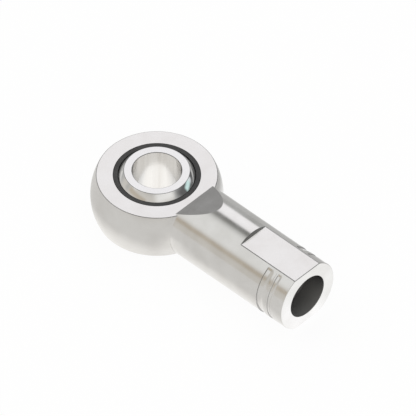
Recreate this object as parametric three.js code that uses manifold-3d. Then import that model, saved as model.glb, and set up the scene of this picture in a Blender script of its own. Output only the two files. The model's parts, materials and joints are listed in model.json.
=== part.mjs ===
// Rod end bearing, inch series, for a 3/8 inch pin: a round eye on an internally threaded shank.
// Millimetres. The origin is the ball's centre, +Z runs along the ball's bore and +X along the shank.
import * as THREE from 'three';
import { mergeVertices } from 'three/addons/utils/BufferGeometryUtils.js';
import Module from 'manifold-3d';

// Driving dimensions.
const BORE_DIAMETER = 9.525;
const BALL_DIAMETER = 17.93;
const BALL_WIDTH = 12.7;
const EYE_DIAMETER = 25.4;
const EYE_WIDTH = 10.31;
const SHANK_DIAMETER = 14.6;
const CENTRE_TO_END = 39.65;
const ACROSS_FLATS = 12.95;
const FLATS_START = 25.4;
const THREAD_MEAN_DIAMETER = 9;
const THREAD_BOTTOM = 16.5;
const DRILL_POINT_DEPTH = 2.65;

// The sloped shoulder where the shank rises from the eye's flat face.
const SHOULDER_START = 9.8;
const SHOULDER_END = 16.4;

// Rolled grooves near the shank's free end, which stop just short of the wrench flats.
const WIDE_GROOVE = { start: 33.1, floorEnd: 33.9, end: 35.1, depth: 0.2 };
const NARROW_GROOVE = { start: 35.8, floorEnd: 36.4, end: 36.9, depth: 0.15 };
const GROOVE_REACH = 6.2;

// The bearing inside the eye, from the ball outwards.
const BALL_CLEARANCE = 0.05;
const LINER_THICKNESS = 0.4;
const RACE_POCKET_RADIUS = 10.4;
const RACE_HALF_HEIGHT = 3.9;
const SEAL_GROOVE_RADIUS = 8.75;
const SEAL_GROOVE_TOP = 4.6;
const RIM_RADIUS = 8.39;
const FIT_GAP = 0.02;

// Facets: segments round each turned piece, and degrees between the rings of a spherical surface.
const SEGMENTS = 56;
const RING_STEP = 7.5;

const ballRadius = BALL_DIAMETER / 2;
const ballHalf = BALL_WIDTH / 2;
const eyeRadius = EYE_DIAMETER / 2;
const eyeHalf = EYE_WIDTH / 2;
const shankRadius = SHANK_DIAMETER / 2;
const linerInner = ballRadius + BALL_CLEARANCE;
const linerOuter = linerInner + LINER_THICKNESS;

const wasm = await Module();
wasm.setup();

// Turns a closed profile of [radius, height] pairs, outer wall upwards, about +Z.
function turnedAboutZ(profile) {
  const points = profile.map(([radius, height]) => new THREE.Vector2(radius, height));
  return new THREE.LatheGeometry(points, SEGMENTS).rotateX(Math.PI / 2);
}

// Turns a profile of [radius, distance] pairs about +X.
function turnedAboutX(profile) {
  const points = profile.map(([radius, distance]) => new THREE.Vector2(radius, distance));
  return new THREE.LatheGeometry(points, SEGMENTS).rotateZ(-Math.PI / 2);
}

// Points of a circle round the origin of a profile, between two heights, both ends included.
// The count of steps is even, so a surface that is symmetric about the middle has its widest ring there.
function sphereProfile(radius, fromHeight, toHeight) {
  const start = Math.asin(fromHeight / radius);
  const end = Math.asin(toHeight / radius);
  const span = THREE.MathUtils.radToDeg(Math.abs(end - start));
  const steps = 2 * Math.ceil(span / (2 * RING_STEP));
  return Array.from({ length: steps + 1 }, (_, i) => {
    const angle = start + (end - start) * i / steps;
    return [radius * Math.cos(angle), radius * Math.sin(angle)];
  });
}

// Makes a closed geometry into a solid that can be joined and cut.
function solidFrom(geometry) {
  const bare = geometry.clone();
  bare.deleteAttribute('normal');
  bare.deleteAttribute('uv');
  const merged = mergeVertices(bare);
  const index = Array.from(merged.index.array);
  const kept = [];
  for (let i = 0; i < index.length; i += 3) {
    const [a, b, c] = index.slice(i, i + 3);
    if (a !== b && b !== c && c !== a) {
      kept.push(a, b, c);
    }
  }
  const mesh = new wasm.Mesh({
    numProp: 3,
    vertProperties: new Float32Array(merged.attributes.position.array),
    triVerts: new Uint32Array(kept),
  });
  return new wasm.Manifold(mesh);
}

// Turns a finished solid back into a geometry.
function geometryFrom(solid) {
  const mesh = solid.getMesh();
  const geometry = new THREE.BufferGeometry();
  geometry.setAttribute('position', new THREE.BufferAttribute(mesh.vertProperties, 3));
  geometry.setIndex(new THREE.BufferAttribute(mesh.triVerts, 1));
  geometry.computeVertexNormals();
  return geometry;
}

function pieceOf(name, geometry, color, roughness, metalness) {
  const material = new THREE.MeshStandardMaterial({ color, roughness, metalness });
  const mesh = new THREE.Mesh(geometry, material);
  mesh.name = name;
  return mesh;
}

// The eye before it is bored: a sphere faced off flat on two sides.
function eyeBlank() {
  return solidFrom(turnedAboutZ([
    [0, -eyeHalf],
    ...sphereProfile(eyeRadius, -eyeHalf, eyeHalf),
    [0, eyeHalf],
  ]));
}

// The wedge above the sloped shoulder, for the upper side (+1) or the lower side (-1).
function shoulderCutter(side) {
  const slope = (shankRadius - eyeHalf) / (SHOULDER_END - SHOULDER_START);
  const low = 0;
  const high = SHOULDER_END + 4;
  const clear = 2 * shankRadius;
  const outline = new THREE.Shape([
    new THREE.Vector2(low, side * (eyeHalf + slope * (low - SHOULDER_START))),
    new THREE.Vector2(high, side * (eyeHalf + slope * (high - SHOULDER_START))),
    new THREE.Vector2(high, side * clear),
    new THREE.Vector2(low, side * clear),
  ]);
  const wedge = new THREE.ExtrudeGeometry(outline, { depth: 2 * clear, bevelEnabled: false });
  return solidFrom(wedge.rotateX(Math.PI / 2).translate(0, clear, 0));
}

// The shank's round bar, cut back to the sloped shoulders near the eye.
function shankBar() {
  const start = SHOULDER_START - 0.8;
  const bar = solidFrom(turnedAboutX([
    [0, start],
    [shankRadius, start],
    [shankRadius, CENTRE_TO_END],
    [0, CENTRE_TO_END],
  ]));
  return bar.subtract(shoulderCutter(1)).subtract(shoulderCutter(-1));
}

// The ring that one groove takes out of the shank: a square start, a floor and a sloping end.
function grooveCutter({ start, floorEnd, end, depth }) {
  const clear = shankRadius + 1;
  const floor = shankRadius - depth;
  const ring = solidFrom(turnedAboutX([
    [floor, start],
    [clear, start],
    [clear, end + 1],
    [shankRadius, end],
    [floor, floorEnd],
    [floor, start],
  ]));
  const band = new THREE.BoxGeometry(end - start + 3, 3 * shankRadius, 2 * GROOVE_REACH);
  return ring.intersect(solidFrom(band.translate((start + end) / 2, 0, 0)));
}

// The round pocket that holds the races, with a seal groove under each rim.
function bearingPocket() {
  const through = eyeHalf + 1;
  return solidFrom(turnedAboutZ([
    [0, -through],
    [RIM_RADIUS, -through],
    [RIM_RADIUS, -SEAL_GROOVE_TOP],
    [SEAL_GROOVE_RADIUS, -SEAL_GROOVE_TOP],
    [SEAL_GROOVE_RADIUS, -RACE_HALF_HEIGHT],
    [RACE_POCKET_RADIUS, -RACE_HALF_HEIGHT],
    [RACE_POCKET_RADIUS, RACE_HALF_HEIGHT],
    [SEAL_GROOVE_RADIUS, RACE_HALF_HEIGHT],
    [SEAL_GROOVE_RADIUS, SEAL_GROOVE_TOP],
    [RIM_RADIUS, SEAL_GROOVE_TOP],
    [RIM_RADIUS, through],
    [0, through],
  ]));
}

// The blind tapped hole, plain at the thread's mean diameter, with the drill's pointed bottom.
function tappedHole() {
  const radius = THREAD_MEAN_DIAMETER / 2;
  return solidFrom(turnedAboutX([
    [0, THREAD_BOTTOM - DRILL_POINT_DEPTH],
    [radius, THREAD_BOTTOM],
    [radius, CENTRE_TO_END + 1],
    [0, CENTRE_TO_END + 1],
  ]));
}

// What is milled away above one wrench flat, +1 for the upper and -1 for the lower.
function flatCutter(side) {
  const length = CENTRE_TO_END - FLATS_START + 1;
  const block = new THREE.BoxGeometry(length, SHANK_DIAMETER + 2, SHANK_DIAMETER);
  const height = side * (ACROSS_FLATS + SHANK_DIAMETER) / 2;
  return solidFrom(block.translate(FLATS_START + length / 2, 0, height));
}

function rodEndBody() {
  const body = eyeBlank()
    .add(shankBar())
    .subtract(bearingPocket())
    .subtract(tappedHole())
    .subtract(grooveCutter(WIDE_GROOVE))
    .subtract(grooveCutter(NARROW_GROOVE))
    .subtract(flatCutter(1))
    .subtract(flatCutter(-1));
  return pieceOf('rod_end_body', geometryFrom(body), 0xc6c4c1, 0.25, 1);
}

function ball() {
  const boreRadius = BORE_DIAMETER / 2;
  const profile = [
    ...sphereProfile(ballRadius, -ballHalf, ballHalf),
    [boreRadius, ballHalf],
    [boreRadius, -ballHalf],
  ];
  profile.push(profile[0]);
  return pieceOf('ball', turnedAboutZ(profile), 0xe4e4e2, 0.08, 1);
}

// Flips a piece made for the upper half to the lower half.
function lowered(mesh) {
  mesh.rotation.x = Math.PI;
  return mesh;
}

// Half of the split race: a ring with a spherical inside, held by the rolled rim.
function raceHalf(name) {
  const top = RACE_HALF_HEIGHT - FIT_GAP;
  const outer = RACE_POCKET_RADIUS - FIT_GAP;
  const profile = [
    [outer, FIT_GAP / 2],
    [outer, top],
    ...sphereProfile(linerOuter + FIT_GAP, top, FIT_GAP / 2),
  ];
  profile.push(profile[0]);
  return pieceOf(name, turnedAboutZ(profile), 0x9b9a97, 0.35, 1);
}

// The woven low-friction cloth bonded inside one race half.
function linerHalf(name) {
  const top = RACE_HALF_HEIGHT - FIT_GAP;
  const profile = [
    ...sphereProfile(linerOuter, FIT_GAP / 2, top),
    ...sphereProfile(linerInner, top, FIT_GAP / 2),
  ];
  profile.push(profile[0]);
  return pieceOf(name, turnedAboutZ(profile), 0x8a7a4a, 0.8, 0);
}

// The rubber ring that is snapped into the rim's groove and wipes the ball.
function seal(name) {
  const foot = SEAL_GROOVE_RADIUS - FIT_GAP;
  const neck = RIM_RADIUS - FIT_GAP;
  const profile = [
    [foot, RACE_HALF_HEIGHT + FIT_GAP],
    [foot, SEAL_GROOVE_TOP - FIT_GAP],
    [neck, SEAL_GROOVE_TOP - FIT_GAP],
    [neck, eyeHalf],
    ...sphereProfile(linerInner, eyeHalf, RACE_HALF_HEIGHT + FIT_GAP),
  ];
  profile.push(profile[0]);
  return pieceOf(name, turnedAboutZ(profile), 0x3c3c3c, 0.6, 0);
}

const group = new THREE.Group();
group.add(
  rodEndBody(),
  raceHalf('race_upper'),
  lowered(raceHalf('race_lower')),
  linerHalf('liner_upper'),
  lowered(linerHalf('liner_lower')),
  ball(),
  seal('seal_upper'),
  lowered(seal('seal_lower')),
);

export default group;
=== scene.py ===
import json
import math

import bmesh
import bpy
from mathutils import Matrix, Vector


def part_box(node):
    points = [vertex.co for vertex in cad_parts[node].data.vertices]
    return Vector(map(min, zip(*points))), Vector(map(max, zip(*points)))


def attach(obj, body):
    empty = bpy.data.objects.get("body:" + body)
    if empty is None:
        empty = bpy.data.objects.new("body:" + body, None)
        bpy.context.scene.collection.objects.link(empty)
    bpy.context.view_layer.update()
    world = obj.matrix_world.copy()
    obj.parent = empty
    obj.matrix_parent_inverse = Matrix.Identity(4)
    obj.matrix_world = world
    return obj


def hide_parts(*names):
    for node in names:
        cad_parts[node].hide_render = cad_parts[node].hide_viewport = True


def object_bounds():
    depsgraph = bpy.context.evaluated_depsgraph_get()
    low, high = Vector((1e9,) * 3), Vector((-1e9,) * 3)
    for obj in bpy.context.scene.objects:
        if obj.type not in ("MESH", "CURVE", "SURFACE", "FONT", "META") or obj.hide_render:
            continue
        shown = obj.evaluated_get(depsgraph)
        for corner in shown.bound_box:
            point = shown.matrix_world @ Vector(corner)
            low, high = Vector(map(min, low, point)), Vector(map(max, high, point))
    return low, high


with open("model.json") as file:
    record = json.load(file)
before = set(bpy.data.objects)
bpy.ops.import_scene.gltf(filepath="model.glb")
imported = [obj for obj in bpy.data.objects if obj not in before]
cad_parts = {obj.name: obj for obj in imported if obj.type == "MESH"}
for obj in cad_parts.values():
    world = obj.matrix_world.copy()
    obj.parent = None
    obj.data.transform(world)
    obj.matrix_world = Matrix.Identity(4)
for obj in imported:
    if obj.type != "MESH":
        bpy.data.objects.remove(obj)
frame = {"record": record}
cad_low, cad_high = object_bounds()

# ---------------------------------------------------------------------------
# The body: one steel forging. The eye is a ball-turned head faced flat on two
# sides and bored for the bearing, and the round shank runs out of it. The eye
# is turned first, with its edges broken by a fine radius.
MM = 0.001
EYE_RADIUS = cad_high.y
EYE_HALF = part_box("seal_upper")[1].z
RIM_RADIUS = 8.39 * MM
SEAL_GROOVE_RADIUS = 8.75 * MM
SEAL_GROOVE_TOP = 4.6 * MM
RACE_POCKET_RADIUS = 10.4 * MM
RACE_HALF = 3.9 * MM
EYE_EDGE = 0.14 * MM
RIM_EDGE = 0.05 * MM
EYE_SEGMENTS = 240
SPHERE_STEP = math.radians(2)
ARC_SHARE = 0.45
ON_AXIS = 1e-7


def sphere_rings(radius, start, end, edge=0.0):
    """Profile points on a sphere between two heights, with an edge radius for its two end corners."""
    low, high = math.asin(start / radius), math.asin(end / radius)
    steps = max(2, round(abs(high - low) / SPHERE_STEP))
    rings = []
    for i in range(steps + 1):
        angle = low + (high - low) * i / steps
        rings.append((radius * math.cos(angle), radius * math.sin(angle), edge if i in (0, steps) else 0.0))
    return rings


def rounded(corners, steps=5):
    """Profile points from corners of (radius, height, edge radius), each edge turned to a small arc."""
    points = []
    for i, (radius, height, edge) in enumerate(corners):
        corner = Vector((radius, height))
        if not edge:
            points.append(corner)
            continue
        back = Vector(corners[i - 1][:2]) - corner
        ahead = Vector(corners[(i + 1) % len(corners)][:2]) - corner
        half = back.angle(ahead) / 2
        reach = min(edge / math.tan(half), ARC_SHARE * back.length, ARC_SHARE * ahead.length)
        start, end = corner + back.normalized() * reach, corner + ahead.normalized() * reach
        centre = corner + ((start + end) / 2 - corner).normalized() * reach / math.cos(half)
        arm, last = start - centre, end - centre
        turn = math.copysign(math.pi - 2 * half, arm.x * last.y - arm.y * last.x)
        for step in range(steps + 1):
            cos, sin = math.cos(turn * step / steps), math.sin(turn * step / steps)
            points.append(centre + Vector((arm.x * cos - arm.y * sin, arm.x * sin + arm.y * cos)))
    return points


def into_scene(name, work):
    """Puts a finished mesh into the scene, its faces all turned outward."""
    bmesh.ops.recalc_face_normals(work, faces=work.faces)
    mesh = bpy.data.meshes.new(name)
    work.to_mesh(mesh)
    work.free()
    piece = bpy.data.objects.new(name, mesh)
    bpy.context.scene.collection.objects.link(piece)
    return piece


def turn_piece(name, points, segments, closed=True):
    """Turns a profile of (radius, height) points about +Z."""
    work = bmesh.new()
    rings = []
    for radius, height in points:
        angles = [2 * math.pi * step / segments for step in range(segments if radius > ON_AXIS else 1)]
        rings.append([work.verts.new((radius * math.cos(a), radius * math.sin(a), height)) for a in angles])
    pairs = list(zip(rings, rings[1:] + rings[:1])) if closed else list(zip(rings, rings[1:]))
    for low, high in pairs:
        for step in range(segments):
            after = (step + 1) % segments
            below = [low[step % len(low)], low[after % len(low)]]
            above = [high[after % len(high)], high[step % len(high)]]
            distinct = list(dict.fromkeys(below + above))
            if len(distinct) > 2:
                work.faces.new(distinct)
    return into_scene(name, work)


eye = turn_piece("rod_end_eye_and_shank", rounded([
    *sphere_rings(EYE_RADIUS, -EYE_HALF, EYE_HALF, EYE_EDGE),
    (RIM_RADIUS, EYE_HALF, RIM_EDGE),
    (RIM_RADIUS, SEAL_GROOVE_TOP, 0),
    (SEAL_GROOVE_RADIUS, SEAL_GROOVE_TOP, 0),
    (SEAL_GROOVE_RADIUS, RACE_HALF, 0),
    (RACE_POCKET_RADIUS, RACE_HALF, 0),
    (RACE_POCKET_RADIUS, -RACE_HALF, 0),
    (SEAL_GROOVE_RADIUS, -RACE_HALF, 0),
    (SEAL_GROOVE_RADIUS, -SEAL_GROOVE_TOP, 0),
    (RIM_RADIUS, -SEAL_GROOVE_TOP, 0),
    (RIM_RADIUS, -EYE_HALF, RIM_EDGE),
]), EYE_SEGMENTS)

# ---------------------------------------------------------------------------
# The shank: turned round, with a wrench flat milled on each side of its end
# and two shallow rolled grooves that fade out just short of the flats.
mounts = {mount["name"]: Vector(mount["pos_m"]) for mount in frame["record"]["mounts"]}
SHANK_RADIUS = cad_high.z
SHANK_END = mounts["shank_end_face"].x
SHANK_INSIDE_EYE = 9 * MM
SHANK_EDGE = 0.13 * MM
FLAT_HEIGHT = mounts["wrench_flat_upper"].z
FLATS_START = 25.4 * MM
FLAT_CORNER = math.degrees(math.acos(FLAT_HEIGHT / SHANK_RADIUS))
FLAT_EDGE = 0.062 * MM
STEP_EDGE = 0.08 * MM
STEP_ROOT = 0.08 * MM
STEP_LEAN = math.tan(math.radians(10))
GROOVES = [
    # start, foot of its first wall, end of its floor, end, depth
    (33.1 * MM, 33.17 * MM, 33.9 * MM, 35.0 * MM, 0.2 * MM),
    (35.36 * MM, 35.39 * MM, 35.42 * MM, 35.5 * MM, 0.05 * MM),
    (35.8 * MM, 35.92 * MM, 36.4 * MM, 36.9 * MM, 0.17 * MM),
]
GROOVE_REACH = 6.1 * MM
GROOVE_FADE = 0.26 * MM
GROOVE_ROW = 0.055 * MM
# where the rings of points lie between the eye, the flats' start, the grooves and the end
ROUND_ROWS = (SHANK_INSIDE_EYE, 14.5 * MM, 20 * MM)
FLAT_ROWS = (27.5 * MM, 30.2 * MM)
LAST_ROW = 38.2 * MM
# how deep the milling may go: not at all, or as deep as the flat is
UNCUT = 0.0
CUT = 1.0
# degrees round the shank: plain steps, with finer ones at a flat's corner and a groove's end
PLAIN_STEP = 2.0
FINE_FROM, FINE_TO = 26, 35.5
CORNER_STEP = 0.2
FADE_FROM, FADE_STEP = 29.2, 0.5
WELD_REACH = 0.001 * MM


def smooth(low, high, value):
    """0 below low, 1 above high, and an S-curve between."""
    share = min(1.0, max(0.0, (value - low) / (high - low)))
    return share * share * (3 - 2 * share)


def groove_depth(place, height):
    """How deep the rolled grooves are at one place along the shank, at a height above or below its middle."""
    depth = 0.0
    for start, foot, floor_end, end, full_depth in GROOVES:
        if start < place < end:
            depth = full_depth * smooth(start, foot, place) * (1 - smooth(floor_end, end, place))
    return depth * smooth(GROOVE_REACH + GROOVE_FADE, GROOVE_REACH - GROOVE_FADE, height)


def shank_radius(place, angle, drop, rise, inset):
    """The shank's radius at one place and angle. Milling goes drop deep, and leaves rise above the flat."""
    up = abs(math.cos(angle))
    around = SHANK_RADIUS - groove_depth(place, SHANK_RADIUS * up)
    flat = FLAT_HEIGHT / max(up, 0.1)
    blend = max(0.0, 1 - abs(around - flat) / FLAT_EDGE)
    milled = min(around, flat) - blend * blend * FLAT_EDGE / 4
    rise = min(rise, max(0.0, around - milled - STEP_EDGE))
    return max(milled, around - drop) + rise - inset


def leaned(place, radius, angle):
    """Where a row's point lies along the shank. The step up from the flat leans back a little."""
    if abs(place - FLATS_START) > 2 * STEP_EDGE:
        return place
    return place - STEP_LEAN * max(0.0, radius * abs(math.cos(angle)) - FLAT_HEIGHT)


def shank_angles():
    """Angles round the shank from +Z, close together at the flats' corners and at the grooves' ends."""
    corner = [FLAT_CORNER + CORNER_STEP * step for step in range(-6, 7)]
    fade = [FADE_FROM + FADE_STEP * step for step in range(12)]
    plain = [PLAIN_STEP * step for step in range(round(90 / PLAIN_STEP) + 1)]
    quarter = sorted(corner + fade + [angle for angle in plain if not FINE_FROM < angle < FINE_TO])
    half = quarter + [180 - angle for angle in reversed(quarter[:-1])]
    return [math.radians(angle) for angle in half + [angle + 180 for angle in half[1:-1]]]


def quarter_turn(steps):
    """Sine and cosine at even steps over a quarter turn."""
    return [(math.sin(math.pi / 2 * i / steps), math.cos(math.pi / 2 * i / steps)) for i in range(steps + 1)]


def shank_rows():
    """One row (place, drop, rise, inset) for each ring of the shank, from inside the eye to its end."""
    rows = [(place, UNCUT, 0, 0) for place in ROUND_ROWS]
    for sin, cos in quarter_turn(4):
        rows.append((FLATS_START - STEP_EDGE * (1 - sin), STEP_EDGE * (1 - cos), 0, 0))
    for sin, cos in quarter_turn(4):
        rows.append((FLATS_START + STEP_ROOT * (1 - cos), CUT, STEP_ROOT * (1 - sin), 0))
    rows += [(place, CUT, 0, 0) for place in FLAT_ROWS]
    groove_start, groove_end = GROOVES[0][0] - GROOVE_ROW, GROOVES[-1][3] + GROOVE_ROW
    count = round((groove_end - groove_start) / GROOVE_ROW)
    rows += [(groove_start + (groove_end - groove_start) * i / count, CUT, 0, 0) for i in range(count + 1)]
    rows.append((LAST_ROW, CUT, 0, 0))
    for sin, cos in quarter_turn(5):
        rows.append((SHANK_END - SHANK_EDGE * (1 - sin), CUT, 0, SHANK_EDGE * (1 - cos)))
    return rows


def bridge(work, low, high):
    """Faces between two rows of points."""
    for step in range(len(low) - 1):
        work.faces.new([low[step], low[step + 1], high[step + 1], high[step]])


def close_end(work, row, tip):
    """Faces from a row of points to one tip."""
    point = work.verts.new(tip)
    for step in range(len(row) - 1):
        work.faces.new([row[step], row[step + 1], point])


def weld(work):
    """Joins points that lie on each other, and takes out faces that have closed up."""
    bmesh.ops.remove_doubles(work, verts=work.verts, dist=WELD_REACH)
    bmesh.ops.dissolve_degenerate(work, edges=work.edges, dist=WELD_REACH / 2)


def solid_of_rings(name, rings):
    """A closed solid of rings of points, with its first and last ring closed to their middles."""
    work = bmesh.new()
    rows = [[work.verts.new(point) for point in ring] for ring in rings]
    rows = [row + row[:1] for row in rows]
    for low, high in zip(rows, rows[1:]):
        bridge(work, low, high)
    for row in (rows[0], rows[-1]):
        close_end(work, row, sum((vertex.co for vertex in row[1:]), Vector()) / (len(row) - 1))
    weld(work)
    return into_scene(name, work)


def around_x(place, radius, angle):
    """A point at a place along +X, a radius off it and an angle from +Z."""
    return (place, radius * math.sin(angle), radius * math.cos(angle))


def shank_ring(place, drop, rise, inset):
    """One ring of points round the shank."""
    ring = []
    for angle in shank_angles():
        radius = shank_radius(place, angle, drop, rise, inset)
        ring.append(around_x(leaned(place, radius, angle), radius, angle))
    return ring


shank = solid_of_rings("shank", [shank_ring(*row) for row in shank_rows()])

# ---------------------------------------------------------------------------
# The tapped hole: drilled blind from the shank's end, opened out plain for a
# few millimetres, and tapped with a fine 60 degree thread below that.
THREAD_PITCH = 25.4 * MM / 24
THREAD_CREST = 4.33 * MM
THREAD_ROOT = 4.74 * MM
THREAD_MOUTH = 4.51 * MM
THREAD_START = SHANK_END - 4.2 * MM
THREAD_END = 16.5 * MM
THREAD_RUN_IN = 0.9 * MM
THREAD_RUN_OUT = 1 * MM
OPENED_TO = THREAD_END + 2 * MM
TOOL_CLEAR = 1 * MM
MOUTH_CHAMFER = 0.07 * MM
DRILL_TIP = 13.85 * MM
THREAD_COLUMNS = 72
THREAD_SHAPE = [
    # share of one pitch, and share of the thread's depth
    (0.0, 0), (0.125, 0), (0.25, 0), (0.354, 0.33), (0.458, 0.67),
    (0.5625, 1), (0.625, 1), (0.6875, 1), (0.792, 0.67), (0.896, 0.33),
]


def tap_solid():
    """The space that the drill and the tap clear. The rows of its wall climb one turn along the thread."""
    mouth = SHANK_END - MOUTH_CHAMFER
    outside = SHANK_END + TOOL_CLEAR
    turns = math.ceil((mouth - THREAD_END) / THREAD_PITCH) + 1
    shares = [step / THREAD_COLUMNS for step in range(THREAD_COLUMNS + 1)]
    work = bmesh.new()

    def row_of(radius_at):
        return [work.verts.new(around_x(*radius_at(share), 2 * math.pi * share)) for share in shares]

    def cut_at(turn, phase, depth, share):
        place = min(mouth, max(THREAD_END, mouth - (turn + phase + share) * THREAD_PITCH))
        begun = smooth(THREAD_START, THREAD_START - THREAD_RUN_IN, place)
        begun *= smooth(THREAD_END, THREAD_END + THREAD_RUN_OUT, place)
        cut = THREAD_CREST + (THREAD_ROOT - THREAD_CREST) * depth
        drilled = THREAD_MOUTH if place > OPENED_TO else THREAD_CREST
        return place, drilled + (cut - drilled) * begun

    far = row_of(lambda share: (outside, THREAD_MOUTH + outside - mouth))
    lip = row_of(lambda share: (mouth, THREAD_MOUTH))
    wall = [
        row_of(lambda share: cut_at(turn, phase, depth, share))
        for turn in range(-1, turns) for phase, depth in THREAD_SHAPE
    ]
    bridge(work, far, lip)
    close_end(work, far, (outside, 0, 0))
    for low, high in zip(wall, wall[1:]):
        bridge(work, low, high)
    close_end(work, wall[-1], (DRILL_TIP, 0, 0))
    weld(work)
    return into_scene("tap", work)


# ---------------------------------------------------------------------------
# The join: the shoulders are milled at a slope where the shank rises from
# the eye's faces, the hole is tapped, and eye and shank are one forging.
SHOULDER_START = 9.8 * MM
SHOULDER_END = 16.4 * MM
SHOULDER_SLOPE = (SHANK_RADIUS - EYE_HALF) / (SHOULDER_END - SHOULDER_START)
CUTTER_PAST = 4 * MM
CUTTER_REACH = 20 * MM
CLEARANCE_RADIUS = 11.4 * MM
CLEARANCE_HALF = 4.4 * MM
CLEARANCE_SEGMENTS = 96


def wedge_above(side):
    """The space that milling clears above one sloped shoulder."""
    far = SHOULDER_END + CUTTER_PAST
    outline = [
        (0, side * (EYE_HALF - SHOULDER_SLOPE * SHOULDER_START)),
        (far, side * (EYE_HALF + SHOULDER_SLOPE * (far - SHOULDER_START))),
        (far, side * CUTTER_REACH),
        (0, side * CUTTER_REACH),
    ]
    rings = [[(x, y, z) for x, z in outline] for y in (-CUTTER_REACH, CUTTER_REACH)]
    return solid_of_rings("shoulder_cut", rings)


def apply_modifiers(piece):
    """Leaves the piece as the plain mesh that its modifiers make."""
    bpy.context.view_layer.update()
    shown = piece.evaluated_get(bpy.context.evaluated_depsgraph_get())
    finished = bpy.data.meshes.new_from_object(shown)
    piece.modifiers.clear()
    piece.data = finished


def cut_or_join(piece, tool, operation):
    """Joins a tool solid to the piece or cuts it away, and takes the tool out of the scene."""
    step = piece.modifiers.new(operation.lower(), "BOOLEAN")
    step.operation = operation
    step.solver = "MANIFOLD"
    step.object = tool
    apply_modifiers(piece)
    bpy.data.objects.remove(tool)


pocket_clearance = turn_piece("pocket_clearance", [
    (0, -CLEARANCE_HALF),
    (CLEARANCE_RADIUS, -CLEARANCE_HALF),
    (CLEARANCE_RADIUS, CLEARANCE_HALF),
    (0, CLEARANCE_HALF),
], CLEARANCE_SEGMENTS, closed=False)
cut_or_join(shank, pocket_clearance, "DIFFERENCE")
cut_or_join(shank, wedge_above(1), "DIFFERENCE")
cut_or_join(shank, wedge_above(-1), "DIFFERENCE")
cut_or_join(shank, tap_solid(), "DIFFERENCE")
cut_or_join(eye, shank, "UNION")
body_piece = eye

# ---------------------------------------------------------------------------
# The finish: bright turned steel. Each cut left its own fine marks: rings
# round the shank, circles on the eye's faces, sweeps on the flats, and a
# barrelled grain on the eye's outside. The tapped hole is dull and painted
# dark with painted shade, and the edge radii are painted dark as shade lines.
NOISE_LOW, NOISE_HIGH = 0.3, 0.7


def new_finish(name, colour, roughness, metallic=1.0):
    """A material with the plain values on its shader's own sockets."""
    finish = bpy.data.materials.new(name)
    finish.use_nodes = True
    shader = finish.node_tree.nodes["Principled BSDF"]
    shader.inputs["Base Color"].default_value = (*colour, 1)
    shader.inputs["Metallic"].default_value = metallic
    shader.inputs["Roughness"].default_value = roughness
    return finish, finish.node_tree.nodes, finish.node_tree.links, shader


def grain(nodes, links, scale, detail=3.0, stretch=(1, 1, 1)):
    """A noise in the piece's own space, finer as scale grows, drawn out where stretch is small."""
    where = nodes.new("ShaderNodeTexCoord")
    place = nodes.new("ShaderNodeMapping")
    place.inputs["Scale"].default_value = stretch
    noise = nodes.new("ShaderNodeTexNoise")
    noise.inputs["Scale"].default_value = scale
    noise.inputs["Detail"].default_value = detail
    links.new(where.outputs["Object"], place.inputs["Vector"])
    links.new(place.outputs["Vector"], noise.inputs["Vector"])
    return noise.outputs["Fac"]


def tool_marks(nodes, links, centre, keep, spacing):
    """Fine lines at an uneven spacing: rings round a centre, or bands along one direction."""
    where = nodes.new("ShaderNodeTexCoord")
    shift = nodes.new("ShaderNodeVectorMath")
    shift.operation = "SUBTRACT"
    shift.inputs[1].default_value = centre
    pick = nodes.new("ShaderNodeVectorMath")
    pick.operation = "MULTIPLY"
    pick.inputs[1].default_value = keep
    length = nodes.new("ShaderNodeVectorMath")
    length.operation = "LENGTH"
    noise = nodes.new("ShaderNodeTexNoise")
    noise.noise_dimensions = "1D"
    noise.inputs["Scale"].default_value = 1 / spacing
    noise.inputs["Detail"].default_value = 4
    links.new(where.outputs["Object"], shift.inputs[0])
    links.new(shift.outputs["Vector"], pick.inputs[0])
    links.new(pick.outputs["Vector"], length.inputs[0])
    links.new(length.outputs["Value"], noise.inputs["W"])
    return noise.outputs["Fac"]


def spread(nodes, links, value, low, high):
    """Stretches a noise, which lies mostly in the middle of 0 to 1, over a range."""
    ranged = nodes.new("ShaderNodeMapRange")
    ranged.inputs["From Min"].default_value = NOISE_LOW
    ranged.inputs["From Max"].default_value = NOISE_HIGH
    ranged.inputs["To Min"].default_value = low
    ranged.inputs["To Max"].default_value = high
    links.new(value, ranged.inputs["Value"])
    return ranged.outputs["Result"]


def raise_marks(nodes, links, shader, value, height, strength):
    """Turns a value into a fine relief on the surface."""
    bump = nodes.new("ShaderNodeBump")
    bump.inputs["Strength"].default_value = strength
    bump.inputs["Distance"].default_value = height
    links.new(value, bump.inputs["Height"])
    links.new(bump.outputs["Normal"], shader.inputs["Normal"])


def tinted(nodes, links, value, dark, light):
    """A colour between two near ones."""
    ramp = nodes.new("ShaderNodeValToRGB")
    ramp.color_ramp.elements[0].position = NOISE_LOW
    ramp.color_ramp.elements[0].color = (*dark, 1)
    ramp.color_ramp.elements[1].position = NOISE_HIGH
    ramp.color_ramp.elements[1].color = (*light, 1)
    links.new(value, ramp.inputs["Fac"])
    return ramp.outputs["Color"]


STEEL_DARK = (0.74, 0.73, 0.71)
STEEL_LIGHT = (0.82, 0.815, 0.80)
# painted shade: the edge radii get about half the steel's tone, so they show as dark shade lines
PAINTED_EDGE_SHADE_DARK = (0.36, 0.357, 0.353)
PAINTED_EDGE_SHADE_LIGHT = (0.46, 0.456, 0.452)
# painted shade and painted light on the hole's wall: near black high up, lighter low down
HOLE_PAINTED_SHADE = (0.006, 0.006, 0.006)
HOLE_PAINTED_LIGHT = (0.25, 0.248, 0.243)
HOLE_PAINTED_LIGHT_SPAN = (4 * MM, -5 * MM)
POLISH_CLOUD = 260
CUT_RELIEF = 0.35


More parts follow.
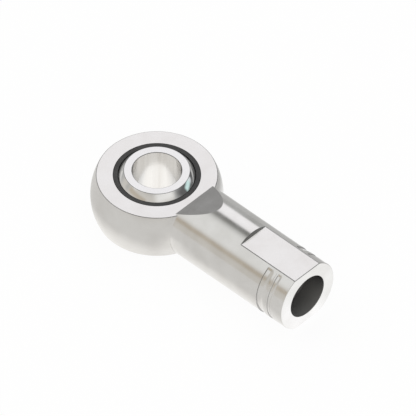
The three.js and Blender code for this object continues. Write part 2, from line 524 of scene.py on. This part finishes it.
def cut_steel(name, centre, keep, spacing, height, roughness, dark=STEEL_DARK, light=STEEL_LIGHT):
    """Steel with the marks of one cut, a cloudy polish and a slight change of tone."""
    finish, nodes, links, shader = new_finish(name, light, roughness)
    marks = tool_marks(nodes, links, centre, keep, spacing)
    cloud = grain(nodes, links, POLISH_CLOUD)
    links.new(spread(nodes, links, cloud, roughness * 0.8, roughness * 1.25), shader.inputs["Roughness"])
    links.new(tinted(nodes, links, cloud, dark, light), shader.inputs["Base Color"])
    raise_marks(nodes, links, shader, marks, height, CUT_RELIEF)
    return finish


def barrelled_steel():
    """The eye's outside, tumbled smooth after forging."""
    finish, nodes, links, shader = new_finish("barrelled_steel", STEEL_LIGHT, 0.2)
    fine = grain(nodes, links, 6000, 4)
    cloud = grain(nodes, links, 200)
    links.new(spread(nodes, links, cloud, 0.17, 0.25), shader.inputs["Roughness"])
    links.new(tinted(nodes, links, cloud, STEEL_DARK, STEEL_LIGHT), shader.inputs["Base Color"])
    raise_marks(nodes, links, shader, fine, 0.004 * MM, 0.3)
    return finish


def tapped_steel():
    """The hole's wall, dull, painted dark with the hole's shade, and painted lighter low down as painted
    light. That change of tone is a guess.
    """
    # near-black base colour: painted shade of the deep hole
    finish, nodes, links, shader = new_finish("thread_painted_dark", (0.085, 0.084, 0.082), 0.5, metallic=0)
    shader.inputs["Specular IOR Level"].default_value = 0.2
    film = grain(nodes, links, 900)
    where = nodes.new("ShaderNodeTexCoord")
    axes = nodes.new("ShaderNodeSeparateXYZ")
    lower = nodes.new("ShaderNodeMapRange")
    lower.interpolation_type = "SMOOTHSTEP"
    lower.inputs["From Min"].default_value = HOLE_PAINTED_LIGHT_SPAN[0]
    lower.inputs["From Max"].default_value = HOLE_PAINTED_LIGHT_SPAN[1]
    lower.inputs["To Min"].default_value = 0.25
    lower.inputs["To Max"].default_value = 0.75
    links.new(where.outputs["Object"], axes.inputs["Vector"])
    links.new(axes.outputs["Z"], lower.inputs["Value"])
    # tone by height: painted shade at the top of the hole, painted light lower down
    tone = tinted(nodes, links, lower.outputs["Result"], HOLE_PAINTED_SHADE, HOLE_PAINTED_LIGHT)
    links.new(tone, shader.inputs["Base Color"])
    links.new(spread(nodes, links, film, 0.42, 0.58), shader.inputs["Roughness"])
    raise_marks(nodes, links, shader, film, 0.006 * MM, 0.2)
    return finish


def edge_painted_shade():
    """The fine radius on every edge, painted about half as dark as the faces beside it as a line of painted
    shade, and a little duller.
    """
    finish, nodes, links, shader = new_finish("edge_painted_shade", PAINTED_EDGE_SHADE_LIGHT, 0.24)
    edge_grain = grain(nodes, links, 1500, 4)
    links.new(spread(nodes, links, edge_grain, 0.2, 0.32), shader.inputs["Roughness"])
    links.new(tinted(nodes, links, edge_grain, PAINTED_EDGE_SHADE_DARK, PAINTED_EDGE_SHADE_LIGHT), shader.inputs["Base Color"])
    raise_marks(nodes, links, shader, edge_grain, 0.004 * MM, 0.3)
    return finish


SLOPE_NORMAL = Vector((-SHOULDER_SLOPE, 0, 1)).normalized()
STEP_NORMAL = Vector((1, 0, STEP_LEAN)).normalized()
# the middle of each cut's marks, and the directions they are measured along
MIDDLE = (0, 0, 0)
FLAT_SWEEP = (20 * MM, 30 * MM, 0)
SHOULDER_SWEEP = (13 * MM, -40 * MM, 0)
ALONG_SHANK = (1, 0, 0)
ALONG_BORE = (0, 0, 1)
ROUND_BORE = (1, 1, 0)
ROUND_SHANK = (0, 1, 1)
FINISHES = {
    "outside": barrelled_steel(),
    "shank": cut_steel("turned_shank", MIDDLE, ALONG_SHANK, 0.11 * MM, 0.003 * MM, 0.15),
    "face": cut_steel("faced_eye", MIDDLE, ROUND_BORE, 0.13 * MM, 0.002 * MM, 0.13),
    "flat": cut_steel("milled_flat", FLAT_SWEEP, ROUND_BORE, 0.16 * MM, 0.002 * MM, 0.13),
    "shoulder": cut_steel("milled_shoulder", SHOULDER_SWEEP, ROUND_BORE, 0.16 * MM, 0.002 * MM, 0.16),
    "end": cut_steel("faced_end", MIDDLE, ROUND_SHANK, 0.12 * MM, 0.002 * MM, 0.13),
    "thread": tapped_steel(),
    # the edge finish is painted shade: dark lines along every edge radius
    "edge": edge_painted_shade(),
}
SHARED_FINISH = {"pocket": "outside", "groove": "shank", "turned edge": "shank", "step": "flat"}
# how closely a face has to point, and how near it has to lie, to belong to a surface
TRUE_FLAT = 0.9999
TRUE_ROUND = 0.9998
ON_SURFACE = 0.005 * MM
ON_SHANK = 0.004 * MM
BESIDE = 0.1 * MM
body_piece.data.materials.clear()
for finish in FINISHES.values():
    body_piece.data.materials.append(finish)


def body_surface(centre, normal):
    """Which surface of the body a face belongs to, from its middle and its direction."""
    height = abs(centre.z)
    off_axis = math.hypot(centre.y, centre.z)
    around = Vector((0, centre.y, centre.z)).normalized()
    mirrored = Vector((normal.x, normal.y, math.copysign(1, centre.z) * normal.z))
    if off_axis < THREAD_ROOT + BESIDE and centre.x > DRILL_TIP - BESIDE and normal.x < 0.98:
        return "thread"
    if centre.length < EYE_HALF * 2 and math.hypot(centre.x, centre.y) < RACE_POCKET_RADIUS + BESIDE:
        if height < EYE_HALF - 2 * BESIDE:
            return "pocket"
    if mirrored.z > TRUE_FLAT and abs(height - EYE_HALF) < ON_SURFACE:
        return "face"
    if mirrored.z > TRUE_FLAT and abs(height - FLAT_HEIGHT) < ON_SURFACE:
        return "flat"
    if normal.x > TRUE_FLAT and abs(centre.x - SHANK_END) < ON_SURFACE:
        return "end"
    if mirrored.dot(SLOPE_NORMAL) > TRUE_FLAT:
        return "shoulder"
    if mirrored.dot(STEP_NORMAL) > TRUE_ROUND and abs(centre.x - FLATS_START) < 2 * BESIDE:
        return "step"
    if abs(centre.length - EYE_RADIUS) < 2 * ON_SURFACE and normal.dot(centre.normalized()) > TRUE_ROUND:
        return "outside"
    if abs(off_axis - SHANK_RADIUS) < ON_SHANK and normal.dot(around) > TRUE_ROUND:
        return "shank"
    if normal.x > 0.05 and centre.x > SHANK_END - SHANK_EDGE and height < FLAT_HEIGHT - FLAT_EDGE:
        return "turned edge"
    in_grooves = GROOVES[0][0] - BESIDE < centre.x < GROOVES[-1][3] + BESIDE
    if in_grooves and normal.dot(around) > 0.6 and height < GROOVE_REACH + GROOVE_FADE:
        return "groove"
    return "edge"


def true_normal(surface, point):
    """The exact outward direction of a flat, round or ball-turned surface at a point on it."""
    side = math.copysign(1, point.z)
    if surface in ("face", "flat"):
        return Vector((0, 0, side))
    if surface == "end":
        return Vector((1, 0, 0))
    if surface == "shoulder":
        return Vector((SLOPE_NORMAL.x, 0, side * SLOPE_NORMAL.z))
    if surface == "step":
        return Vector((STEP_NORMAL.x, 0, side * STEP_NORMAL.z))
    if surface == "outside":
        return point.normalized()
    if surface == "shank":
        return Vector((0, point.y, point.z)).normalized()
    return None


def blended_normal(face, vertex, kinds, normal_of, crease):
    """The direction at one corner of an edge's face: its neighbour surface's own, or the mean around it."""
    mean = Vector()
    nearest, nearest_angle = None, crease
    for other in vertex.link_faces:
        exact = normal_of(kinds[other.index], vertex.co)
        angle = face.normal.angle(exact or other.normal, 0)
        if exact and angle < nearest_angle:
            nearest, nearest_angle = exact, angle
        elif not exact and angle < crease:
            mean += other.normal * other.calc_area()
    return nearest or (mean.normalized() if mean.length else face.normal.copy())


def shade_true(piece, surface_of, normal_of, crease=math.radians(38)):
    """Shades each surface by its exact shape, and runs the small edges between surfaces into them."""
    work = bmesh.new()
    work.from_mesh(piece.data)
    work.normal_update()
    work.faces.index_update()
    kinds = [surface_of(face.calc_center_median(), face.normal) for face in work.faces]
    directions = []
    for face in work.faces:
        face.smooth = True
        for vertex in face.verts:
            exact = normal_of(kinds[face.index], vertex.co)
            directions.append(exact or blended_normal(face, vertex, kinds, normal_of, crease))
    work.to_mesh(piece.data)
    work.free()
    piece.data.normals_split_custom_set(directions)
    return kinds


finish_names = list(FINISHES)
for face, kind in zip(body_piece.data.polygons, shade_true(body_piece, body_surface, true_normal)):
    face.material_index = finish_names.index(SHARED_FINISH.get(kind, kind))
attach(body_piece, "housing")
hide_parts("rod_end_body")

# ---------------------------------------------------------------------------
# The race: two ground steel rings that close round the ball, dropped into the
# eye's pocket from both sides before its rim is rolled over them.
race_low, race_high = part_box("race_upper")
RACE_EDGE = 0.1 * MM
LINER_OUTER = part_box("liner_upper")[1].x
RACE_GAP = 0.02 * MM


def smooth_shade(piece, sharp_degrees=38):
    """Shades curved faces smooth and keeps flat faces flat right up to their rounded edges."""
    for face in piece.data.polygons:
        face.use_smooth = True
    piece.data.set_sharp_from_angle(angle=math.radians(sharp_degrees))
    weighted = piece.modifiers.new("weighted", "WEIGHTED_NORMAL")
    weighted.mode = "FACE_AREA"
    weighted.weight = 80
    weighted.keep_sharp = True
    apply_modifiers(piece)


def lowered(points):
    """The same profile for the lower half."""
    return [(radius, -height) for radius, height in points]


def ground_steel():
    """The race's ground steel, with the wheel's fine rings."""
    finish, nodes, links, shader = new_finish("ground_race", (0.55, 0.54, 0.52), 0.3)
    marks = tool_marks(nodes, links, MIDDLE, ALONG_BORE, 0.08 * MM)
    links.new(tinted(nodes, links, marks, (0.5, 0.49, 0.47), (0.6, 0.59, 0.57)), shader.inputs["Base Color"])
    links.new(spread(nodes, links, marks, 0.24, 0.36), shader.inputs["Roughness"])
    raise_marks(nodes, links, shader, marks, 0.002 * MM, 0.3)
    return finish


race_finish = ground_steel()
race_profile = rounded([
    (race_high.x, race_low.z, RACE_EDGE),
    (race_high.x, race_high.z, RACE_EDGE),
    *sphere_rings(LINER_OUTER + RACE_GAP, race_high.z, race_low.z),
])
for node, points in (("race_upper", race_profile), ("race_lower", lowered(race_profile))):
    race = turn_piece(node.replace("race", "split_race"), points, EYE_SEGMENTS)
    race.data.materials.append(race_finish)
    smooth_shade(race)
    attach(race, "housing")
    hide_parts(node)

# ---------------------------------------------------------------------------
# The liner: a woven low-friction cloth, bonded into each half of the race, so
# that the ball needs no grease. Its weave shows as a fine even relief.
liner_low, liner_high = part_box("liner_upper")
ball_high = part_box("ball")[1]
LINER_INNER = ball_high.x + 0.05 * MM
WEAVE = 0.25 * MM


def woven_liner():
    """The liner's tan cloth, with its weave in relief."""
    finish, nodes, links, shader = new_finish("liner_cloth", (0.42, 0.35, 0.2), 0.8, metallic=0)
    where = nodes.new("ShaderNodeTexCoord")
    threads = nodes.new("ShaderNodeTexWave")
    threads.wave_type = "BANDS"
    threads.bands_direction = "DIAGONAL"
    threads.inputs["Scale"].default_value = 1 / WEAVE / 3
    threads.inputs["Distortion"].default_value = 1.5
    links.new(where.outputs["Object"], threads.inputs["Vector"])
    weave = threads.outputs["Fac"]
    links.new(tinted(nodes, links, weave, (0.33, 0.27, 0.15), (0.5, 0.43, 0.27)), shader.inputs["Base Color"])
    raise_marks(nodes, links, shader, weave, 0.03 * MM, 0.6)
    return finish


liner_finish = woven_liner()
liner_profile = [
    *[point[:2] for point in sphere_rings(LINER_OUTER, liner_low.z, liner_high.z)],
    *[point[:2] for point in sphere_rings(LINER_INNER, liner_high.z, liner_low.z)],
]
for node, points in (("liner_upper", liner_profile), ("liner_lower", lowered(liner_profile))):
    liner = turn_piece(node.replace("liner", "bonded_liner"), points, EYE_SEGMENTS)
    liner.data.materials.append(liner_finish)
    smooth_shade(liner)
    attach(liner, "housing")
    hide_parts(node)

# ---------------------------------------------------------------------------
# The ball: bearing steel, bored for the pin, ground round, faced flat on both
# sides, chrome plated and lapped to a mirror with only a faint haze.
BALL_RADIUS = ball_high.x
BALL_HALF = ball_high.z
BORE_RADIUS = 4.7625 * MM
BALL_EDGE = 0.13 * MM
BORE_EDGE = 0.1 * MM
BORE_ROWS = 8
CHROME_DULL = Vector((0.83, 0.83, 0.82))
CHROME = Vector((0.87, 0.87, 0.86))
CHROME_BRIGHT = Vector((0.89, 0.89, 0.885))
BORE_DULL = (0.60, 0.585, 0.565)
BORE_BRIGHT = (0.77, 0.768, 0.76)


def lapped_chrome(name, centre, keep, spacing, roughness, shade=1.0):
    """Bright chrome with fine marks and a faint haze, darker where shade is below 1."""
    finish, nodes, links, shader = new_finish(name, CHROME * shade, roughness)
    marks = tool_marks(nodes, links, centre, keep, spacing)
    haze = grain(nodes, links, 300)
    dull, bright = CHROME_DULL * shade, CHROME_BRIGHT * shade
    links.new(spread(nodes, links, haze, roughness * 0.7, roughness * 1.4), shader.inputs["Roughness"])
    links.new(tinted(nodes, links, haze, dull, bright), shader.inputs["Base Color"])
    raise_marks(nodes, links, shader, marks, 0.0015 * MM, 0.25)
    return finish


def honed_chrome():
    """The bore's wall, streaked along its length by the hone."""
    finish, nodes, links, shader = new_finish("honed_bore", (0.82, 0.81, 0.79), 0.16)
    streaks = grain(nodes, links, 420, 3, stretch=(1, 1, 0.04))
    links.new(tinted(nodes, links, streaks, BORE_DULL, BORE_BRIGHT), shader.inputs["Base Color"])
    links.new(spread(nodes, links, streaks, 0.12, 0.2), shader.inputs["Roughness"])
    raise_marks(nodes, links, shader, streaks, 0.002 * MM, 0.25)
    return finish


def ball_surface(centre, normal):
    """Which surface of the ball a face belongs to."""
    if abs(centre.length - BALL_RADIUS) < ON_SURFACE and normal.dot(centre.normalized()) > TRUE_ROUND:
        return "lapped"
    if abs(normal.z) > TRUE_FLAT and abs(abs(centre.z) - BALL_HALF) < ON_SURFACE:
        return "faced"
    if abs(normal.z) < 0.01 and abs(math.hypot(centre.x, centre.y) - BORE_RADIUS) < 2 * ON_SURFACE:
        return "honed"
    return "broken edge"


def ball_normal(surface, point):
    """The exact outward direction of one of the ball's surfaces at a point on it."""
    if surface == "lapped":
        return point.normalized()
    if surface == "faced":
        return Vector((0, 0, math.copysign(1, point.z)))
    if surface == "honed":
        return Vector((-point.x, -point.y, 0)).normalized()
    return None


ball = turn_piece("swivel_ball", rounded([
    *sphere_rings(BALL_RADIUS, -BALL_HALF, BALL_HALF, BALL_EDGE),
    (BORE_RADIUS, BALL_HALF, BORE_EDGE),
    *[(BORE_RADIUS, BALL_HALF - 2 * BALL_HALF * step / BORE_ROWS, 0) for step in range(1, BORE_ROWS)],
    (BORE_RADIUS, -BALL_HALF, BORE_EDGE),
]), EYE_SEGMENTS)
BALL_FINISHES = {
    "lapped": lapped_chrome("lapped_ball", MIDDLE, ALONG_BORE, 0.1 * MM, 0.07),
    "faced": lapped_chrome("faced_ball", MIDDLE, ROUND_BORE, 0.12 * MM, 0.12, shade=0.94),
    "honed": honed_chrome(),
    # painted shade: the ball's edge radii are coloured at about a third of the chrome's tone, as dark shade
    # lines
    "broken edge": lapped_chrome("ball_edge_painted_shade", MIDDLE, ALONG_BORE, 0.1 * MM, 0.16, shade=0.32),
}
for finish in BALL_FINISHES.values():
    ball.data.materials.append(finish)
ball_names = list(BALL_FINISHES)
for face, kind in zip(ball.data.polygons, shade_true(ball, ball_surface, ball_normal)):
    face.material_index = ball_names.index(kind)
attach(ball, "ball")
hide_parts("ball")

# ---------------------------------------------------------------------------
# The seals: two moulded rubber rings, snapped into the groove under each rim
# after the rim is rolled. A thin lip wipes the ball and keeps dirt out.
seal_low, seal_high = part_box("seal_upper")
SEAL_FOOT = seal_high.x
SEAL_NECK = RIM_RADIUS - 0.06 * MM
SEAL_LIP = ball_high.x + 0.07 * MM
SEAL_STEP = SEAL_GROOVE_TOP - 0.02 * MM
SEAL_EDGE = 0.07 * MM
RUBBER_DARK = (0.05, 0.05, 0.05)
RUBBER_LIGHT = (0.075, 0.075, 0.074)


def moulded_rubber():
    """The seals' dark rubber, with the mould's fine matt skin."""
    finish, nodes, links, shader = new_finish("moulded_rubber", (0.06, 0.06, 0.06), 0.55, metallic=0)
    skin = grain(nodes, links, 2500, 5)
    cloud = grain(nodes, links, 350)
    links.new(tinted(nodes, links, cloud, RUBBER_DARK, RUBBER_LIGHT), shader.inputs["Base Color"])
    links.new(spread(nodes, links, skin, 0.45, 0.65), shader.inputs["Roughness"])
    raise_marks(nodes, links, shader, skin, 0.012 * MM, 0.5)
    return finish


seal_finish = moulded_rubber()
seal_profile = rounded([
    (SEAL_FOOT, seal_low.z, SEAL_EDGE),
    (SEAL_FOOT, SEAL_STEP, SEAL_EDGE),
    (SEAL_NECK, SEAL_STEP, 0),
    (SEAL_NECK, seal_high.z, SEAL_EDGE),
    *sphere_rings(SEAL_LIP, seal_high.z, seal_low.z, SEAL_EDGE),
])
for node, points in (("seal_upper", seal_profile), ("seal_lower", lowered(seal_profile))):
    seal = turn_piece(node.replace("seal", "wiper_seal"), points, EYE_SEGMENTS)
    seal.data.materials.append(seal_finish)
    smooth_shade(seal)
    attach(seal, "seal_rings")
    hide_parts(node)

# ---------------------------------------------------------------------------
# The studio: a camera that looks down along the shank, and a light table in a
# grey room. Pools and panels of light on them are placed for the metal to
# reflect. The camera itself sees table and room as even white without them.
object_centre = (cad_low + cad_high) / 2
CAMERA_AZIMUTH = math.radians(43.7)
CAMERA_ELEVATION = math.radians(45.6)
FRAME_WIDTH = 79.3 * MM
FRAME_RISE = 3.9 * MM
CAMERA_DISTANCE = 300 * MM
NEAREST_SEEN, FURTHEST_SEEN = 1 * MM, 10

toward_camera = Vector((
    math.sin(CAMERA_AZIMUTH) * math.cos(CAMERA_ELEVATION),
    -math.cos(CAMERA_AZIMUTH) * math.cos(CAMERA_ELEVATION),
    math.sin(CAMERA_ELEVATION),
))
camera = bpy.data.objects.new("camera", bpy.data.cameras.new("camera"))
bpy.context.scene.collection.objects.link(camera)
camera.data.type = "ORTHO"
camera.data.ortho_scale = FRAME_WIDTH
camera.rotation_mode = "QUATERNION"
camera.rotation_quaternion = (-toward_camera).to_track_quat("-Z", "Y")
picture_up = camera.rotation_quaternion @ Vector((0, 1, 0))
camera.location = object_centre + picture_up * FRAME_RISE + toward_camera * CAMERA_DISTANCE
camera.data.clip_start = NEAREST_SEEN
camera.data.clip_end = FURTHEST_SEEN
bpy.context.scene.camera = camera

FLOOR_HALF = 2
FLOOR_GAP = 0.02 * MM
FLOOR_POOLS = [
    # centre along X and Y, how far drawn out along X, reach, how far it stays full, and colour
    (-1 * MM, -7 * MM, 1.0, 15 * MM, 5 * MM, (0.96, 0.945, 0.925)),
    (22 * MM, -4 * MM, 2.5, 12 * MM, 3 * MM, (0.85, 0.83, 0.805)),
    (28 * MM, 8 * MM, 3.2, 22 * MM, 6 * MM, (1.0, 1.0, 1.0)),
    (2 * MM, -2 * MM, 1.0, 7 * MM, 4 * MM, (1.34, 1.325, 1.30)),
    (40.5 * MM, 0.5 * MM, 1.0, 9 * MM, 2 * MM, (1.16, 1.16, 1.18)),
]
FLOOR_NEAR = (0.64, 0.63, 0.615, 1)
FLOOR_FAR = (0.46, 0.459, 0.455, 1)
FLOOR_SEEN = (0.925, 0.925, 0.925, 1)
FLOOR_TURNS = (-3 * MM, 6 * MM)
floor_level = cad_low.z - FLOOR_GAP
floor_mesh = bpy.data.meshes.new("floor")
floor_corners = [(-1, -1), (1, -1), (1, 1), (-1, 1)]
floor_points = [(x * FLOOR_HALF, y * FLOOR_HALF, floor_level) for x, y in floor_corners]
floor_mesh.from_pydata(floor_points, [], [(0, 1, 2, 3)])
floor = bpy.data.objects.new("floor", floor_mesh)
bpy.context.scene.collection.objects.link(floor)


def eased(nodes, links, value, start, end):
    """0 at start and 1 at end, along an S-curve."""
    edge = nodes.new("ShaderNodeMapRange")
    edge.interpolation_type = "SMOOTHSTEP"
    edge.inputs["From Min"].default_value = start
    edge.inputs["From Max"].default_value = end
    links.new(value, edge.inputs["Value"])
    return edge.outputs["Result"]


def where_both(nodes, links, first, second):
    """One mask times another."""
    product = nodes.new("ShaderNodeMath")
    product.operation = "MULTIPLY"
    links.new(first, product.inputs[0])
    links.new(second, product.inputs[1])
    return product.outputs["Value"]


def mixed(nodes, links, share, under, over):
    """One colour laid over another. Each is a colour or another node's output."""
    mix = nodes.new("ShaderNodeMix")
    mix.data_type = "RGBA"
    links.new(share, mix.inputs["Factor"])
    for colour, socket in ((under, mix.inputs[6]), (over, mix.inputs[7])):
        if isinstance(colour, tuple):
            socket.default_value = colour
        else:
            links.new(colour, socket)
    return mix.outputs[2]


def glowing_floor():
    """The light table. Its pools show only in the metal: the camera sees one even white."""
    finish, nodes, links, shader = new_finish("white_floor", (0.1, 0.1, 0.1), 0.9, metallic=0)
    shader.inputs["Specular IOR Level"].default_value = 0
    shader.inputs["Emission Strength"].default_value = 1
    where = nodes.new("ShaderNodeTexCoord")
    axes = nodes.new("ShaderNodeSeparateXYZ")
    links.new(where.outputs["Object"], axes.inputs["Vector"])
    far_side = eased(nodes, links, axes.outputs["Y"], *FLOOR_TURNS)
    table = mixed(nodes, links, far_side, FLOOR_NEAR, FLOOR_FAR)
    for x, y, stretch, reach, full, colour in FLOOR_POOLS:
        shape = nodes.new("ShaderNodeMapping")
        shape.inputs["Location"].default_value = (-x / stretch, -y, 0)
        shape.inputs["Scale"].default_value = (1 / stretch, 1, 0)
        off = nodes.new("ShaderNodeVectorMath")
        off.operation = "LENGTH"
        links.new(where.outputs["Object"], shape.inputs["Vector"])
        links.new(shape.outputs["Vector"], off.inputs[0])
        pool = eased(nodes, links, off.outputs["Value"], reach, full)
        table = mixed(nodes, links, pool, table, (*colour, 1))
    ray = nodes.new("ShaderNodeLightPath")
    seen = mixed(nodes, links, ray.outputs["Is Camera Ray"], table, FLOOR_SEEN)
    links.new(seen, shader.inputs["Emission Color"])
    return finish


floor.data.materials.append(glowing_floor())


def toward(azimuth, elevation):
    """A direction from the part. Azimuth is measured from +X towards +Y."""
    a, e = math.radians(azimuth), math.radians(elevation)
    return Vector((math.cos(a) * math.cos(e), math.sin(a) * math.cos(e), math.sin(e)))


def wall_panel(nodes, links, direction, under, azimuth, elevation, wide, tall, soft, colour):
    """A soft-edged panel on the room's wall, sized in degrees as seen from the part."""
    ahead = toward(azimuth, elevation)
    across = toward(azimuth + 90, 0)
    mask = None
    for axis, size in ((ahead, None), (across, wide), (ahead.cross(across), tall)):
        along = nodes.new("ShaderNodeVectorMath")
        along.operation = "DOT_PRODUCT"
        along.inputs[1].default_value = axis
        links.new(direction, along.inputs[0])
        if size is None:
            mask = eased(nodes, links, along.outputs["Value"], 0.0, 0.1)
            continue
        off = nodes.new("ShaderNodeMath")
        off.operation = "ABSOLUTE"
        links.new(along.outputs["Value"], off.inputs[0])
        outer = math.sin(math.radians(size / 2 + soft))
        inner = math.sin(math.radians(max(0.1, size / 2 - soft)))
        mask = where_both(nodes, links, mask, eased(nodes, links, off.outputs["Value"], outer, inner))
    return mixed(nodes, links, mask, under, (*colour, 1))


ROOM_PANELS = [
    # azimuth, elevation, wide, tall, soft, colour
    (-90, 14, 150, 66, 14, (0.64, 0.615, 0.575)),
    (58, 14, 84, 42, 12, (0.13, 0.13, 0.13)),
    (67, 59, 34, 18, 6, (1.15, 1.15, 1.16)),
    (150, 58, 56, 16, 4, (0.24, 0.24, 0.23)),
    (-147, 51, 52, 34, 6, (0.85, 0.85, 0.84)),
    (-22, 37, 48, 24, 10, (0.87, 0.86, 0.84)),
    (-104, 23, 50, 11, 4, (0.52, 0.465, 0.39)),
    (-138, 18, 12, 14, 5, (0.50, 0.49, 0.465)),
    (127, 35.75, 37, 30.5, 2.5, (1.06, 1.045, 1.07)),
    (151, 13, 22, 24, 4, (0.32, 0.32, 0.32)),
    (55, 14, 28, 11, 3.5, (0.66, 0.87, 0.85)),
    (67, 11, 10, 9, 4, (0.74, 0.76, 0.78)),
]
ROOM_LEVEL = (0.48, 0.48, 0.475, 1)
ROOM_OVERHEAD = (0.36, 0.36, 0.355, 1)
ROOM_SEEN = (0.98, 0.98, 0.98, 1)


def studio_room():
    """The grey room, darker overhead. Its panels show only in the metal: the camera sees one even white."""
    world = bpy.data.worlds.new("studio")
    bpy.context.scene.world = world
    world.use_nodes = True
    nodes, links = world.node_tree.nodes, world.node_tree.links
    where = nodes.new("ShaderNodeTexCoord")
    direction = where.outputs["Generated"]
    axes = nodes.new("ShaderNodeSeparateXYZ")
    ramp = nodes.new("ShaderNodeValToRGB")
    links.new(direction, axes.inputs["Vector"])
    links.new(axes.outputs["Z"], ramp.inputs["Fac"])
    ramp.color_ramp.elements[0].position = 0.0
    ramp.color_ramp.elements[0].color = ROOM_LEVEL
    ramp.color_ramp.elements[1].position = 0.75
    ramp.color_ramp.elements[1].color = ROOM_OVERHEAD
    room = ramp.outputs["Color"]
    for panel in ROOM_PANELS:
        room = wall_panel(nodes, links, direction, room, *panel)
    ray = nodes.new("ShaderNodeLightPath")
    seen = mixed(nodes, links, ray.outputs["Is Camera Ray"], room, ROOM_SEEN)
    links.new(seen, nodes["Background"].inputs["Color"])


studio_room()

LAMP_SIZE = 500 * MM
LAMP_HEIGHT = 600 * MM
LAMP_WATTS = 0.6
overhead = bpy.data.lights.new("overhead_softbox", "AREA")
overhead.size = LAMP_SIZE
overhead.energy = LAMP_WATTS
overhead_lamp = bpy.data.objects.new("overhead_softbox", overhead)
overhead_lamp.location = object_centre + Vector((0, 0, LAMP_HEIGHT))
overhead_lamp.visible_glossy = False
bpy.context.scene.collection.objects.link(overhead_lamp)
bpy.context.scene.view_settings.view_transform = "Standard"
